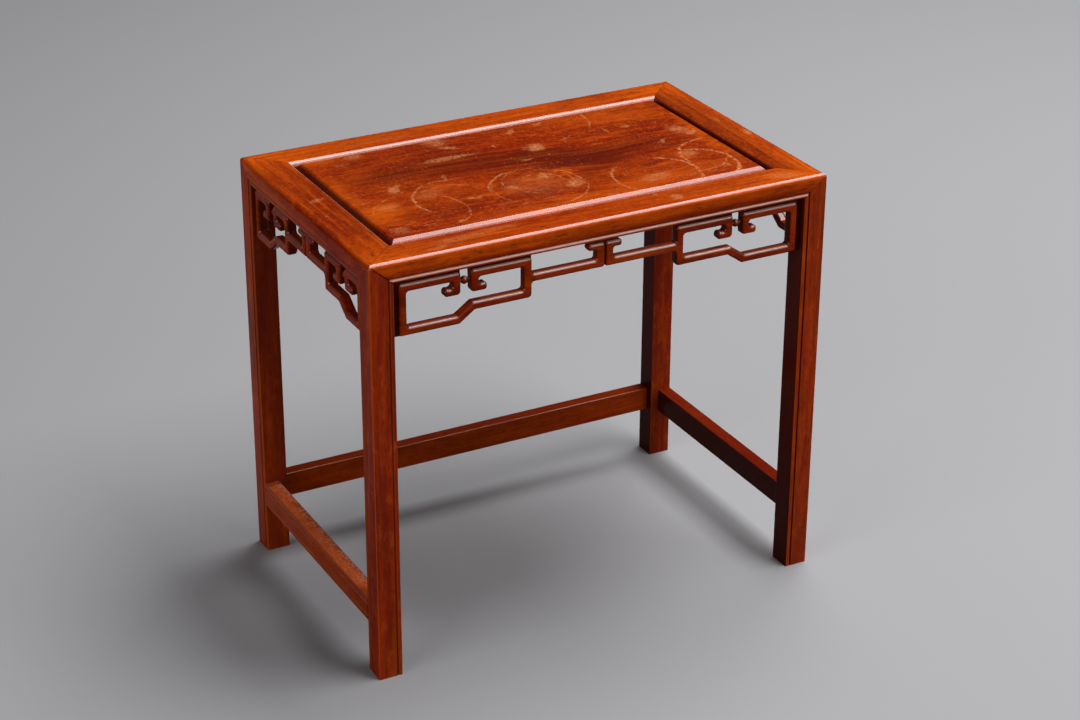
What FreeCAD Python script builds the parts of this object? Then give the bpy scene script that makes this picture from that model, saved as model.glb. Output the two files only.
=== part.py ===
import FreeCAD, Part
import math
import os

# Low side table: framed top with a floating panel, square legs, pierced scroll aprons and three low
# stretchers. Millimetres; the origin is on the floor under the middle of the top, X runs along the
# length, Y to the back and Z up.

V = FreeCAD.Vector

# Overall size
TABLE_W = 562.5
TABLE_D = 351.5
TABLE_H = 500.0

# Legs and top frame
LEG = 28.6
RAIL_W = 45.0
RAIL_H = 25.0
TOP_ROUND = 5.5
INNER_ROUND = 5.5
CORNER_ROUND = 1.75
BEAD = 4.2
BEAD_ROUND = 2.2
BEAD_CROWN = 1.5
GROOVE_W = 2.8
GROOVE_D = 1.6
EASE = 0.8

# Tenons of the top corner
HEAD_TENON_W = 8.0
HEAD_TENON_T = 6.0
HEAD_TENON_SET = 6.05
HEAD_TENON_WALL = 4.65
HEAD_TENON_COVER = 9.0
FRAME_TENON_W = 7.2
FRAME_TENON_T = 6.0
FRAME_TENON_UP = 5.0
FRAME_TENON_WALL = 0.8
FRAME_TENON_END = 16.5

# Top panel and its battens
PANEL_T = 12.0
PANEL_BEVEL = 8.0
PANEL_EASE = 2.0
PANEL_SLOT = 1.0
TONGUE_T = 4.6
TONGUE_IN = 7.0
TONGUE_FLOAT = 1.0
BATTEN_W = 28.0
BATTEN_H = 12.0
DOVETAIL_H = 3.5
DOVETAIL_FLARE = 2.0
BATTEN_SHARE = 0.42

BATTEN_TENON_W = 16.8
BATTEN_TENON_H = 6.0
BATTEN_TENON_SET = 2.4

# Stretchers
STRETCH_T = 18.0
STRETCH_H = 30.0
STRETCH_Z = 62.0
STRETCH_BEAD = 6.0
STRETCH_ROUND = 3.0
TENON_T = 8.0
TENON_L = 13.0
TENON_SHOULDER = 6.0

# Fits: at the cheeks of a tenon and at its end
FIT = 0.2
END_FIT = 0.5

# Pierced aprons
FRET_T = 12.5
FRET_RECESS = 3.5
FRET_GAP = 4.5
BAR = 9.6
MID_DROP = 19.1
INNER_DROP = 36.9
OUTER_DROP = 50.0
HOOK_DROP = 25.8
HOOK_REACH = 9.6
HOOK_GAP = 11.8
SLANT_RUN = 18.6
STEM = 10.5
STEM_REACH = 10.5
STEM_TIP = 7.6
BALL_D = 9.0
BALL_DROP = 11.7
NECK_D = 4.0
SEAM = 0.2
FRET_TONGUE_T = 6.0
FRET_TONGUE_IN = 4.0
FRONT_BOX = 157.0
FRONT_STRIP = 6.5
SIDE_BOX = 94.0
SIDE_STRIP = 3.0

# Roundings of the apron bars, as shares of a bar's width: the long edges, the ends, the corners inside
# and outside a turn, the hooks
EDGE_SHARE = 0.36
END_SHARE = 0.38
INSIDE_SHARE = 0.35
OUTSIDE_SHARE = 0.47
STEP_SHARE = 0.3
HOOK_SHARE = 0.375
HOOK_HOLLOW_SHARE = 0.37
HOOK_INSIDE_SHARE = 0.75
HOOK_TIP_SHARE = 1.05

FRET_ROUND = EDGE_SHARE * BAR
X0 = -TABLE_W / 2
Y0 = -TABLE_D / 2
RAIL_Z = TABLE_H - RAIL_H
MITRE = LEG / RAIL_H
PAST = 10.0


def box(x0, x1, y0, y1, z0, z1):
    return Part.makeBox(x1 - x0, y1 - y0, z1 - z0, V(x0, y0, z0))


def rounded_face(points, place):
    """Face inside a polygon of (a, b, radius); place turns a and b into a point in space."""
    edges = []
    tangents = []
    count = len(points)
    for i in range(count):
        a, b, r = points[i]
        pa, pb, _ = points[i - 1]
        na, nb, _ = points[(i + 1) % count]
        before = math.hypot(pa - a, pb - b)
        after = math.hypot(na - a, nb - b)
        d1 = ((pa - a) / before, (pb - b) / before)
        d2 = ((na - a) / after, (nb - b) / after)
        half = math.acos(max(-1.0, min(1.0, d1[0] * d2[0] + d1[1] * d2[1]))) / 2
        if r <= 0:
            tangents.append(((a, b), None, (a, b)))
            continue
        reach = r / math.tan(half)
        out = r / math.sin(half) - r
        mid = (d1[0] + d2[0], d1[1] + d2[1])
        size = math.hypot(*mid)
        tangents.append(((a + d1[0] * reach, b + d1[1] * reach),
                         (a + mid[0] / size * out, b + mid[1] / size * out),
                         (a + d2[0] * reach, b + d2[1] * reach)))
    for i in range(count):
        start, mid, end = tangents[i]
        following = tangents[(i + 1) % count][0]
        if mid:
            edges.append(Part.Arc(place(*start), place(*mid), place(*end)).toShape())
        if math.hypot(following[0] - end[0], following[1] - end[1]) > 1e-6:
            edges.append(Part.makeLine(place(*end), place(*following)))
    return Part.Face(Part.Wire(edges))


def prism(points, place, along):
    """Straight prism on a plain polygon."""
    return rounded_face([(a, b, 0) for a, b in points], place).extrude(along)


def flip_x(shape):
    return shape.mirror(V(0, 0, 0), V(1, 0, 0))


def flip_y(shape):
    return shape.mirror(V(0, 0, 0), V(0, 1, 0))


def fuse(first, *others):
    return first.fuse(list(others)).removeSplitter()


def groove_points(edge, toward):
    """Groove beside a flat that ends at edge, as (distance along the face, depth, radius): a steep wall,
    a floor that rises a quarter of the depth and a slope to the crown of the bead."""
    steep = GROOVE_W / 6
    return [(edge, 0, steep),
            (edge + toward * steep, GROOVE_D, steep),
            (edge + toward * GROOVE_W * 3 / 5, GROOVE_D * 3 / 4, GROOVE_D / 2),
            (edge + toward * GROOVE_W, 0, BEAD_CROWN)]


# The same moulding on the legs and the rails: flat, groove, bead. On the rails it is scaled so that
# the lines meet on the mitre.
LEG_FLAT = LEG - BEAD - GROOVE_W
SLOT_V0 = FRET_RECESS + FRET_ROUND + END_FIT
SLOT_V1 = SLOT_V0 + FRET_TONGUE_T


def leg_column():
    moulding = groove_points(LEG_FLAT, 1)
    points = [(0, 0, CORNER_ROUND)]
    points += [(a, d, r) for a, d, r in moulding]
    points += [(LEG, 0, BEAD_ROUND), (LEG, LEG, EASE), (0, LEG, BEAD_ROUND)]
    points += [(d, a, r) for a, d, r in reversed(moulding)]
    return rounded_face(points, lambda u, v: V(X0 + u, Y0 + v, 0)).extrude(V(0, 0, TABLE_H))


def long_edge_trim(length):
    """Waste outside the rounded top front edge."""
    z0 = TABLE_H - TOP_ROUND
    waste = box(X0 - PAST, X0 + length, Y0 - PAST, Y0 + TOP_ROUND, z0, TABLE_H + PAST)
    core = Part.makeCylinder(TOP_ROUND, length + 2 * PAST, V(X0 - PAST, Y0 + TOP_ROUND, z0), V(1, 0, 0))
    return waste.cut(core)


def short_edge_trim(length):
    """Waste outside the rounded top left edge."""
    z0 = TABLE_H - TOP_ROUND
    waste = box(X0 - PAST, X0 + TOP_ROUND, Y0 - PAST, Y0 + length, z0, TABLE_H + PAST)
    core = Part.makeCylinder(TOP_ROUND, length + 2 * PAST, V(X0 + TOP_ROUND, Y0 - PAST, z0), V(0, 1, 0))
    return waste.cut(core)


def corner_trim():
    """Waste outside the rounded upright corner at the head of the leg."""
    x1 = X0 + CORNER_ROUND
    y1 = Y0 + CORNER_ROUND
    waste = box(X0 - PAST, x1, Y0 - PAST, y1, RAIL_Z - PAST, TABLE_H + PAST)
    core = Part.makeCylinder(CORNER_ROUND, RAIL_H + 2 * PAST, V(x1, y1, RAIL_Z - PAST))
    return waste.cut(core)


def u_wedge(low):
    """Space where the distance from the left face is above (or below) the mitre plane of the leg head."""
    far = LEG + PAST
    if low:
        points = [(0, 0), (far, far / MITRE), (-PAST, far / MITRE), (-PAST, 0)]
    else:
        points = [(0, 0), (far, far / MITRE), (far, -PAST), (0, -PAST)]
    return prism(points, lambda u, w: V(X0 + u, Y0 - PAST, TABLE_H - w), V(0, RAIL_W + 2 * PAST, 0))


def v_wedge(low):
    """Space where the distance from the front face is above (or below) the mitre plane of the leg head."""
    far = LEG + PAST
    if low:
        points = [(0, 0), (far, far / MITRE), (-PAST, far / MITRE), (-PAST, 0)]
    else:
        points = [(0, 0), (far, far / MITRE), (far, -PAST), (0, -PAST)]
    return prism(points, lambda v, w: V(X0 - PAST, Y0 + v, TABLE_H - w), V(RAIL_W + 2 * PAST, 0, 0))


def frame_mitre(front):
    """Corner space beyond the mitre of the two rails, cut from the front rail or from the left one."""
    far = RAIL_W + PAST
    if front:
        points = [(0, 0), (far, far), (-PAST, far), (-PAST, -PAST), (0, -PAST)]
    else:
        points = [(0, 0), (far, far), (far, -PAST), (-PAST, -PAST), (-PAST, 0)]
    return prism(points, lambda u, v: V(X0 + u, Y0 + v, RAIL_Z - PAST), V(0, 0, RAIL_H + 2 * PAST))


# Leg tenons: their place along the rail, behind its face and below the top
HEAD_A0 = LEG - HEAD_TENON_WALL - HEAD_TENON_W
HEAD_A1 = HEAD_A0 + HEAD_TENON_W
HEAD_B0 = HEAD_TENON_SET
HEAD_B1 = HEAD_B0 + HEAD_TENON_T
HEAD_Z1 = TABLE_H - HEAD_TENON_COVER


def head_tenon(fit):
    """Leg tenon that stands in the front rail, with its fit all round."""
    return box(X0 + HEAD_A0 - fit, X0 + HEAD_A1 + fit, Y0 + HEAD_B0 - fit, Y0 + HEAD_B1 + fit,
               RAIL_Z, HEAD_Z1 + fit)


def side_head_tenon(fit):
    """Leg tenon that stands in the left rail."""
    return box(X0 + HEAD_B0 - fit, X0 + HEAD_B1 + fit, Y0 + HEAD_A0 - fit, Y0 + HEAD_A1 + fit,
               RAIL_Z, HEAD_Z1 + fit)


def frame_tenon(fit):
    """Tenon of the front rail in the left rail, beside the groove of the panel."""
    v1 = RAIL_W - TONGUE_IN - TONGUE_FLOAT - FRAME_TENON_WALL
    v0 = v1 - FRAME_TENON_W
    z0 = RAIL_Z + FRAME_TENON_UP
    return box(X0 + FRAME_TENON_END - fit, X0 + v1 + FRAME_TENON_WALL, Y0 + v0 - fit, Y0 + v1 + fit,
               z0 - fit, z0 + FRAME_TENON_T + fit)


# Stretcher tenons
ST_U = (STRETCH_T - TENON_T) / 2
ST_Z0 = STRETCH_Z + TENON_SHOULDER
ST_Z1 = STRETCH_Z + STRETCH_H - TENON_SHOULDER


def side_stretcher_tenon(fit, end_fit):
    y1 = Y0 + LEG
    return box(X0 + ST_U - fit, X0 + ST_U + TENON_T + fit, y1 - TENON_L - end_fit, y1,
               ST_Z0 - fit, ST_Z1 + fit)


def back_stretcher_tenon(fit, end_fit):
    """Tenon at the left end of the back stretcher, drawn at the front left corner."""
    x1 = X0 + LEG
    return box(x1 - TENON_L - end_fit, x1, Y0 + ST_U - fit, Y0 + ST_U + TENON_T + fit,
               ST_Z0 - fit, ST_Z1 + fit)


# Apron levels
FRET_TOP = RAIL_Z - FRET_GAP
FRET_LOW = FRET_TOP - OUTER_DROP - BAR
FRONT_IN = TABLE_W / 2 - LEG
SIDE_IN = TABLE_D / 2 - LEG


def leg(back):
    """Leg at the front left corner; the back ones also hold the back stretcher."""
    shape = leg_column().cut([u_wedge(False), v_wedge(False)])
    shape = fuse(shape, head_tenon(0), side_head_tenon(0))
    cuts = [long_edge_trim(LEG + PAST), short_edge_trim(LEG + PAST)]
    low = FRET_LOW - FIT
    deep = FRET_TONGUE_IN + END_FIT
    a0 = LEG - deep
    a1 = LEG + PAST
    b0 = SLOT_V0 - FIT
    b1 = SLOT_V1 + FIT
    cuts.append(box(X0 + a0, X0 + a1, Y0 + b0, Y0 + b1, low, RAIL_Z))
    cuts.append(box(X0 + b0, X0 + b1, Y0 + a0, Y0 + a1, low, RAIL_Z))
    cuts.append(side_stretcher_tenon(FIT, END_FIT))
    if back:
        cuts.append(back_stretcher_tenon(FIT, END_FIT))
    return shape.cut(cuts)


def rail_points():
    """Rail section as (distance from the outer face, depth below the top, radius)."""
    moulding = [(d, a / MITRE, r) for a, d, r in groove_points(LEG_FLAT, 1)]
    points = [(0, 0, TOP_ROUND)] + moulding + [(0, RAIL_H, BEAD_ROUND)]
    points += [(RAIL_W, RAIL_H, EASE), (RAIL_W, 0, INNER_ROUND)]
    return points


# Panel levels, measured down from the top
TONGUE_W0 = PANEL_T - TONGUE_T
BATTEN_X = BATTEN_SHARE * (TABLE_W / 2 - RAIL_W)


def panel_groove():
    """Groove round the inside of the frame for the panel's tongue."""
    deep = TONGUE_IN + TONGUE_FLOAT
    x1 = TABLE_W / 2 - RAIL_W + deep
    y1 = TABLE_D / 2 - RAIL_W + deep
    return box(-x1, x1, -y1, y1, TABLE_H - PANEL_T - FIT, TABLE_H - TONGUE_W0 + FIT)


def batten_tenon(x, fit, end_fit):
    """Front tenon of the batten whose middle is at x."""
    y1 = Y0 + RAIL_W
    z1 = TABLE_H - PANEL_T - BATTEN_TENON_SET
    return box(x - BATTEN_TENON_W / 2 - fit, x + BATTEN_TENON_W / 2 + fit,
               y1 - TONGUE_IN - end_fit, y1 + TONGUE_IN, z1 - BATTEN_TENON_H - fit, z1 + fit)


def long_rail():
    """Front rail."""
    face = rounded_face(rail_points(), lambda v, w: V(X0, Y0 + v, TABLE_H - w))
    shape = face.extrude(V(TABLE_W, 0, 0))
    ends = [frame_mitre(True), u_wedge(True), corner_trim()]
    shape = shape.cut(ends + [flip_x(s) for s in ends])
    shape = fuse(shape, frame_tenon(0), flip_x(frame_tenon(0)))
    cuts = [head_tenon(FIT), flip_x(head_tenon(FIT)), panel_groove()]
    cuts += [batten_tenon(x, FIT, END_FIT) for x in (-BATTEN_X, BATTEN_X)]
    cuts.append(box(-FRONT_IN, FRONT_IN, Y0 + SLOT_V0 - FIT, Y0 + SLOT_V1 + FIT,
                    RAIL_Z - PAST, RAIL_Z + FRET_TONGUE_IN + END_FIT))
    return shape.cut(cuts)


def short_rail():
    """Left rail."""
    face = rounded_face(rail_points(), lambda u, w: V(X0 + u, Y0, TABLE_H - w))
    shape = face.extrude(V(0, TABLE_D, 0))
    ends = [frame_mitre(False), v_wedge(True), corner_trim()]
    ends += [frame_tenon(FIT), side_head_tenon(FIT)]
    shape = shape.cut(ends + [flip_y(s) for s in ends])
    slot = box(X0 + SLOT_V0 - FIT, X0 + SLOT_V1 + FIT, -SIDE_IN, SIDE_IN,
               RAIL_Z - PAST, RAIL_Z + FRET_TONGUE_IN + END_FIT)
    return shape.cut([panel_groove(), slot])


def dovetail(x, y1, grow):
    """Dovetail of a batten under the panel, from -y1 to y1."""
    z0 = TABLE_H - PANEL_T
    foot = BATTEN_TENON_W / 2 + grow
    head = foot + DOVETAIL_FLARE
    points = [(x - foot, z0 - grow), (x + foot, z0 - grow),
              (x + head, z0 + DOVETAIL_H + grow), (x - head, z0 + DOVETAIL_H + grow)]
    return prism(points, lambda a, b: V(a, -y1, b), V(0, 2 * y1, 0))


def panel():
    """Panel: a flat field, a bevel all round down to the tongue, and the tongue."""
    x1 = TABLE_W / 2 - RAIL_W - PANEL_SLOT
    y1 = TABLE_D / 2 - RAIL_W - PANEL_SLOT
    x2 = x1 - PANEL_BEVEL
    y2 = y1 - PANEL_BEVEL
    z0 = TABLE_H - PANEL_T
    z1 = TABLE_H - TONGUE_W0
    field = Part.makeWedge(-x1, z1, -y1, -y2, -x2, x1, TABLE_H, y1, y2, x2)
    field.rotate(V(0, 0, 0), V(1, 0, 0), 90)
    rim = [e for e in field.Edges if e.BoundBox.ZMin > TABLE_H - 0.01]
    field = field.makeFillet(PANEL_EASE, rim)
    grow = PANEL_SLOT + TONGUE_IN
    tongue = box(-x1 - grow, x1 + grow, -y1 - grow, y1 + grow, z0, z1)
    shape = fuse(field, tongue)
    return shape.cut([dovetail(x, TABLE_D / 2, FIT) for x in (-BATTEN_X, BATTEN_X)])


def batten(x):
    y1 = TABLE_D / 2 - RAIL_W - FIT
    z1 = TABLE_H - PANEL_T
    body = box(x - BATTEN_W / 2, x + BATTEN_W / 2, -y1, y1, z1 - BATTEN_H, z1)
    tenon = batten_tenon(x, 0, 0)
    return fuse(body, dovetail(x, y1, 0), tenon, flip_y(tenon))


def stretcher_points():
    """Stretcher section as (distance from the outer face, height above its underside, radius)."""
    moulding = groove_points(STRETCH_BEAD + GROOVE_W, -1)
    points = [(0, 0, BEAD_ROUND), (STRETCH_T, 0, EASE), (STRETCH_T, STRETCH_H, EASE)]
    points.append((0, STRETCH_H, STRETCH_ROUND))
    points += [(d, STRETCH_H - a, r) for a, d, r in reversed(moulding)]
    points += [(d, a, r) for a, d, r in moulding]
    return points


def side_stretcher():
    """Left stretcher."""
    face = rounded_face(stretcher_points(), lambda u, h: V(X0 + u, -SIDE_IN, STRETCH_Z + h))
    tenon = side_stretcher_tenon(0, 0)
    return fuse(face.extrude(V(0, 2 * SIDE_IN, 0)), tenon, flip_y(tenon))


def back_stretcher():
    """Back stretcher, drawn at the front and turned over at the end."""
    face = rounded_face(stretcher_points(), lambda v, h: V(-FRONT_IN, Y0 + v, STRETCH_Z + h))
    tenon = back_stretcher_tenon(0, 0)
    return flip_y(fuse(face.extrude(V(2 * FRONT_IN, 0, 0)), tenon, flip_x(tenon)))


def hook_points(stem, tip, bottom):
    """Upturned hook at the foot of a stem: the inside corner, the tip and the underside."""
    return [(stem, bottom + HOOK_INSIDE_SHARE * BAR, HOOK_HOLLOW_SHARE * BAR),
            (tip, bottom + HOOK_TIP_SHARE * BAR, HOOK_SHARE * BAR),
            (tip, bottom, HOOK_SHARE * BAR)]


def fret_half(leg_face, box_length, strip):
    """Half of an apron: the seam at x = 0, the outer end at +X, the rounded front at y = 0."""
    end = leg_face - strip
    start = end - box_length
    middle = (start + end) / 2
    stem_in = middle - HOOK_GAP / 2
    stem_out = middle + HOOK_GAP / 2
    top_low = FRET_TOP - BAR
    mid_top = FRET_TOP - MID_DROP
    inner_top = FRET_TOP - INNER_DROP
    outer_top = FRET_TOP - OUTER_DROP
    hook = FRET_TOP - HOOK_DROP
    slope = math.atan2(OUTER_DROP - INNER_DROP, SLANT_RUN)
    shift = BAR * math.tan(slope / 2)
    slant_in = middle - SLANT_RUN / 2 - shift / 2
    slant_out = middle + SLANT_RUN / 2 - shift / 2
    inside = INSIDE_SHARE * BAR
    outside = OUTSIDE_SHARE * BAR
    corner = END_SHARE * BAR
    step = STEP_SHARE * BAR
    tip = OUTSIDE_SHARE * STEM_TIP
    hook_out = hook_points(stem_out + BAR, stem_out + BAR + HOOK_REACH, hook)
    hook_in = hook_points(stem_in - BAR, stem_in - BAR - HOOK_REACH, hook)
    points = [(SEAM / 2, mid_top - BAR, corner), (start, mid_top - BAR, inside)]
    points += [(start, inner_top - BAR, outside), (slant_in, inner_top - BAR, outside)]
    points += [(slant_out, FRET_LOW, outside), (end, FRET_LOW, corner), (end, FRET_TOP, corner)]
    points += [(stem_out, FRET_TOP, corner), (stem_out, hook, outside)]
    points += list(reversed(hook_out))
    points += [(stem_out + BAR, top_low, inside), (end - BAR, top_low, inside)]
    points += [(end - BAR, outer_top, inside), (slant_out + shift, outer_top, outside)]
    points += [(slant_in + shift, inner_top, outside), (start + BAR, inner_top, inside)]
    points += [(start + BAR, top_low, inside), (stem_in - BAR, top_low, inside)]
    points += hook_in
    points += [(stem_in, hook, outside), (stem_in, FRET_TOP, corner), (start, FRET_TOP, corner)]
    points += [(start, mid_top, step), (STEM, mid_top, step), (STEM, FRET_TOP - STEM_TIP, step)]
    points += [(STEM + STEM_REACH, FRET_TOP - STEM_TIP, tip), (STEM + STEM_REACH, FRET_TOP, tip)]
    points += [(SEAM / 2, FRET_TOP, corner)]
    face = rounded_face(points, lambda a, b: V(a, 0, b))
    bars = face.extrude(V(0, FRET_T, 0))
    rim = [e for e in bars.Edges if e.BoundBox.YMax < 0.01 or e.BoundBox.YMin > FRET_T - 0.01]
    bars = bars.makeFillet(FRET_ROUND, rim)
    y0 = SLOT_V0 - FRET_RECESS
    y1 = y0 + FRET_TONGUE_T
    up = RAIL_Z + FRET_TONGUE_IN
    root = FRET_TOP - BAR / 2
    extras = [box(end - BAR / 2, leg_face + FRET_TONGUE_IN, y0, y1, FRET_LOW, RAIL_Z - FIT),
              box(stem_out, leg_face - FIT, y0, y1, root, up),
              box(start, stem_in, y0, y1, root, up),
              box(SEAM / 2, STEM, y0, y1, root, up)]
    ball_at = V(middle, FRET_T / 2, FRET_TOP - BALL_DROP)
    neck_at = V(stem_in - NECK_D / 2, FRET_T / 2, FRET_TOP - BALL_DROP)
    extras.append(Part.makeSphere(BALL_D / 2, ball_at, V(1, 0, 0)))
    extras.append(Part.makeCylinder(NECK_D / 2, HOOK_GAP + NECK_D, neck_at, V(1, 0, 0)))
    return fuse(bars, *extras)


os.makedirs("parts", exist_ok=True)


def save(shape, node):
    shape.exportStep("parts/" + node + ".step")


front_rail = long_rail()
save(front_rail, "front_rail")
save(flip_y(front_rail), "back_rail")

left_rail = short_rail()
save(left_rail, "left_rail")
save(flip_x(left_rail), "right_rail")

save(panel(), "panel")
save(batten(-BATTEN_X), "batten_left")
save(batten(BATTEN_X), "batten_right")

front_leg = leg(False)
save(front_leg, "leg_front_left")
save(flip_x(front_leg), "leg_front_right")
back_leg = flip_y(leg(True))
save(back_leg, "leg_back_left")
save(flip_x(back_leg), "leg_back_right")

left_stretcher = side_stretcher()
save(left_stretcher, "stretcher_left")
save(flip_x(left_stretcher), "stretcher_right")
save(back_stretcher(), "stretcher_back")

front_half = fret_half(FRONT_IN, FRONT_BOX, FRONT_STRIP)
front_half.translate(V(0, Y0 + FRET_RECESS, 0))
save(front_half, "fret_front_right")
save(flip_x(front_half), "fret_front_left")
save(flip_y(front_half), "fret_back_right")
save(flip_y(flip_x(front_half)), "fret_back_left")

side_half = fret_half(SIDE_IN, SIDE_BOX, SIDE_STRIP)
side_half.rotate(V(0, 0, 0), V(0, 0, 1), -90)
side_half.translate(V(X0 + FRET_RECESS, 0, 0))
save(side_half, "fret_left_front")
save(flip_y(side_half), "fret_left_back")
save(flip_x(side_half), "fret_right_front")
save(flip_x(flip_y(side_half)), "fret_right_back")
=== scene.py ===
import math

import bpy
import numpy as np
from mathutils import Matrix, Vector


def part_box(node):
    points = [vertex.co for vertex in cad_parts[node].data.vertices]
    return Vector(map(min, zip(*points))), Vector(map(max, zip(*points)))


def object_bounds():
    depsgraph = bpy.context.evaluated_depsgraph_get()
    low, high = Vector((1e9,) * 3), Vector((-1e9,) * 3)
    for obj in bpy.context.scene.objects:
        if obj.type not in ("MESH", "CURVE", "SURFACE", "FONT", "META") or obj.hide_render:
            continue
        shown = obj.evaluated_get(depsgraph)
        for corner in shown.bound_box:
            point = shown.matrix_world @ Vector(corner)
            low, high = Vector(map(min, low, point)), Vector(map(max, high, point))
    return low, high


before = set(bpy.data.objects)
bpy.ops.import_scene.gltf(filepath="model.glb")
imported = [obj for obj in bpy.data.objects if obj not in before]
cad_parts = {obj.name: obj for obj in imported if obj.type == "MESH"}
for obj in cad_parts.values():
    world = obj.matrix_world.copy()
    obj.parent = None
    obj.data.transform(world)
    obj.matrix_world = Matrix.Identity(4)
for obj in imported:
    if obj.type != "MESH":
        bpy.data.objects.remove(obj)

CAD_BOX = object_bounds()

bl_info = {
    "name": "Rosewood Side Table",
    "version": (1, 0, 0),
    "blender": (4, 5, 0),
    "location": "3D View > Sidebar > Side Table",
    "description": "Gives a joined side table its lacquered rosewood finish and a plain studio",
    "category": "Object",
}

X, Y, Z = 0, 1, 2
LONG_RAILS = ("front_rail", "back_rail")
SHORT_RAILS = ("left_rail", "right_rail")
PANEL = ("panel",)
BATTENS = ("batten_left", "batten_right")
LEGS = ("leg_front_left", "leg_front_right", "leg_back_left", "leg_back_right")
SIDE_STRETCHERS = ("stretcher_left", "stretcher_right")
BACK_STRETCHER = ("stretcher_back",)
LONG_APRONS = ("fret_front_left", "fret_front_right", "fret_back_left", "fret_back_right")
SHORT_APRONS = ("fret_left_front", "fret_left_back", "fret_right_front", "fret_right_back")

# Sizes in metres: the table's half length, half depth and height, a leg's width, a rail's height, the bead
# and the groove beside it on a leg, and how far out from the middle the short rails begin.
HALF_W, HALF_D, TOP = Vector(CAD_BOX[1])
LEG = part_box("leg_front_left")[1].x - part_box("leg_front_left")[0].x
RAIL_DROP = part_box("front_rail")[1].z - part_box("front_rail")[0].z
BEAD, GROOVE = 0.0042, 0.0028
RAIL_IN_X = HALF_W - (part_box("left_rail")[1].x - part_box("left_rail")[0].x)

# Depths under the top in metres where painted shade, painted light or a duller polish starts and is full.
RECESS_DEPTHS = (0.0003, 0.0030)
BEVEL_FOOT_DEPTHS = (0.0024, 0.0032)
INNER_EDGE_DEPTHS = (0.0060, 0.0050)
FACE_ORANGE_DEPTHS = (0.018, 0.008)
FACE_MAROON_DEPTHS = (0.011, 0.018)
UPPER_BAR_DEPTHS = (RAIL_DROP + 0.016, RAIL_DROP + 0.011)
APRON_TUCK_DEPTHS = (RAIL_DROP + 0.0045, RAIL_DROP + 0.0040)

# Other distances in metres, from where a shade or a shine starts to where it is full: out from the inner
# edge of the short rails, in from the outer edges, out from the middle of the table, up from the floor,
# and along x over the left stretcher.
RECESS_REACH = (0.012, 0.010)
RIGHT_SHADE_REACH = (0.032, 0.014)
OUTER_EDGE_REACH = (0.025, 0.020)
LEG_FACE_REACH = (0.004, 0.003)
BLEACHED_ENDS = ((0.15, 0.27), (0.06, 0.17))
LEG_SHADE_HEIGHTS = (0.14, 0.32)
LEG_FOOT_HEIGHTS = (0.25, 0.05)
LEFT_STRETCHER_SPAN = (-0.1, -0.26)
LIT_EDGE_SPAN = (-0.258, -0.276)
DUSTY_SPAN = (-0.280, -0.266)
MIDDLE_EASE = 0.1
# How far before the leg the ends of the long and the short aprons are painted dark as shade, and over what
# distance.
APRON_END_TUCK, TUCK_EASE = (0.0065, 0.0030), 0.001
# The painted highlight on the bead of a rail and the painted shade line over it: lowest, highest and
# softness, in metres above the foot of the rail.
BEAD_LINE = (0.0032, 0.0046, 0.0010)
BEAD_SHADE = (0.0062, 0.0066, 0.0006)
# How many times wider the mitre lines are at the corner that has opened.
OPENED_TIMES = 1.8

# Lacquer: the polish of upright faces and of slopes, and the share of it left on level faces.
DULL_POLISH, FULL_POLISH, LEVEL_POLISH = 0.02, 0.7, 0.4
# The upward share of the normal where the polish starts and where it is full, where the loss on level faces
# starts and is full, and the same as the first for the outer edges of the frame and the foot of the bevel.
POLISH_UP, LEVEL_UP = (0.02, 0.35), (0.93, 0.985)
EDGE_POLISH_UP, FOOT_POLISH_UP = (0.5, 0.8), (0.6, 1.0)
# The least and greatest roughness, what worn lacquer adds to it, and how strongly the grain's relief shows.
ROUGHNESS, WORN_ROUGHNESS, RELIEF_STRENGTH = (0.14, 0.24), 0.2, 0.6

# Grain: how many times longer than wide each kind of figure is, and where its noise starts and is full.
FLOW_RUN, CLOUD_RUN, BLOTCH_RUN, DASH_RUN, BAND_RUN, STREAK_RUN = 4, 4, 2.5, 5, 9, 24
BAND_RANGE, STREAK_RANGE, GLINT_RANGE = (0.34, 0.68), (0.36, 0.7), (0.46, 0.7)
FLECK_RANGE, PORE_RANGE, CLOUD_RANGE = (0.58, 0.7), (0.6, 0.7), (0.38, 0.66)
PALE_RANGE, DARK_RANGE = (0.5, 0.7), (0.5, 0.32)
# The width of the pale glints against that of the streaks, and the size of the speckle against the mottle's.
GLINT_TIMES, SPECKLE_TIMES = 1.7, 0.35

# Depth in metres through which an oval or a ring on the top shows: figure goes right through the wood, and
# wear stays on its surface.
THROUGH, PANEL_SKIN, FRAME_SKIN, RING_SKIN = 10, 0.02, 0.004, 0.01
# A ring is full over this share of its width, and fades at its ends over this change of cosine.
RING_CORE, RING_FADE = 0.15, 0.12

# Lamps: where each one is, what it faces and its size, in metres.
LAMP_AIM = (0, 0, 0.4 * TOP)
KEY_AT, KEY_AIM, KEY_SIZE = (1.75, -0.45, 4.10), (1.75, -0.45, 0.0), (2.4, 5.0)
FILL_AT, FILL_SIZE = (-4.60, -1.60, 2.20), (3.2, 2.4)
FRONT_AT, FRONT_SIZE = (2.0, -4.2, 2.3), (2.8, 2.0)
FLOOR_ROUGHNESS, FLOOR_POLISH = 0.8, 0.2
# Camera: its place in metres, its right and up directions, and its lens and sensor width in millimetres.
CAMERA_AT = (-1.23198, -2.32835, 1.53096)
CAMERA_RIGHT = (0.88286, -0.46962, 0.00380)
CAMERA_UP = (0.20154, 0.38615, 0.90015)
LENS, SENSOR_WIDTH = 83.60, 36.0

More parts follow.
